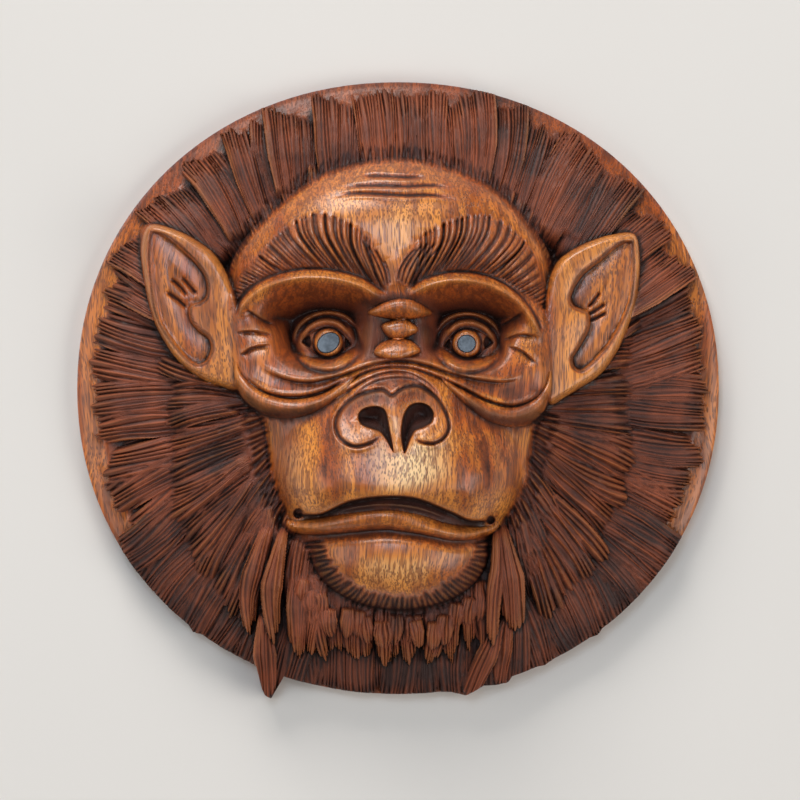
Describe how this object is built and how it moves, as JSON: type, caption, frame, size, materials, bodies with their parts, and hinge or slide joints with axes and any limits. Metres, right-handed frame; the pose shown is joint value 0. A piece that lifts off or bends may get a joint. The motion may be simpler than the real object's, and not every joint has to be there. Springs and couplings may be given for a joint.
{
  "type": "carved wooden chimpanzee mask",
  "caption": "Round wall mask carved from one piece of hardwood: a chimpanzee's face with large ears in a ring of hair, inlaid pupils and a flat back with a blind hanging hole.",
  "frame": {"origin": "middle of the flat back", "axes": "+Z out of the face, +Y to the top of the head, +X to the viewer's right; the mask lies on its back"},
  "size_m": [0.3201, 0.3074, 0.0777],
  "materials": {
    "carved_wood": "satin lacquer over stained hardwood",
    "pupil": "polished grey inlay"
  },
  "bodies": {
    "root": {"mask": "carved_wood", "pupil_left": "pupil", "pupil_right": "pupil"}
  },
  "joints": []
}
